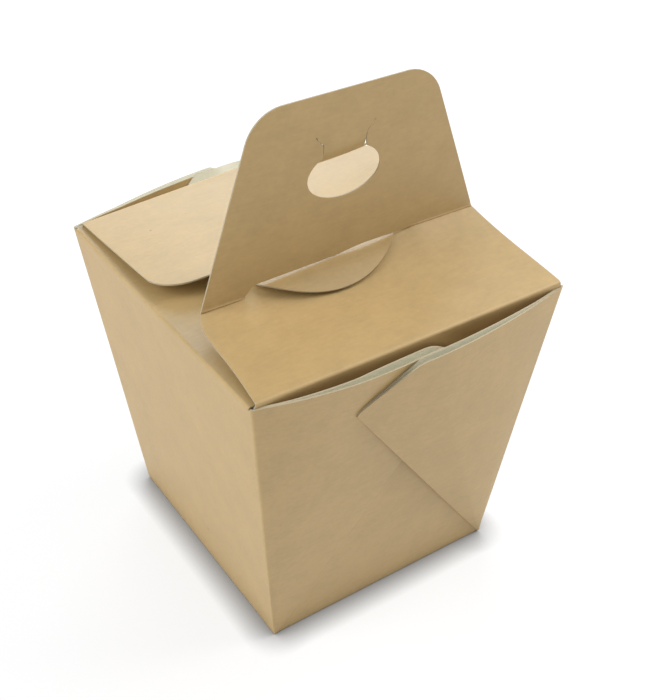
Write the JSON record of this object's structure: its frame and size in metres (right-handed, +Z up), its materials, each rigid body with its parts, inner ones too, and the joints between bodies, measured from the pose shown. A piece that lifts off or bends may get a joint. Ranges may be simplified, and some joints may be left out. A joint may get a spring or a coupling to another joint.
{
  "type": "noodle takeaway box",
  "caption": "Tapered folded kraft-board food carton, shut, with bowed corner webs, a tongue-locked lid and an upright board handle with an oval finger hole.",
  "frame": {"origin": "centre of the bounding box at the base, on the surface that the carton stands on", "axes": "+Z up, towards the top of the handle; +X along the lid folds, to the right seen from the front; -Y towards the front end panel, +Y towards the rear lid's fold"},
  "size_m": [0.1002, 0.1244, 0.1544],
  "materials": {
    "kraft_board": "uncoated matt kraft board, with a pale grey-green coat on the inner face"
  },
  "bodies": {
    "root": {"noodle_box": "kraft_board"}
  },
  "joints": []
}
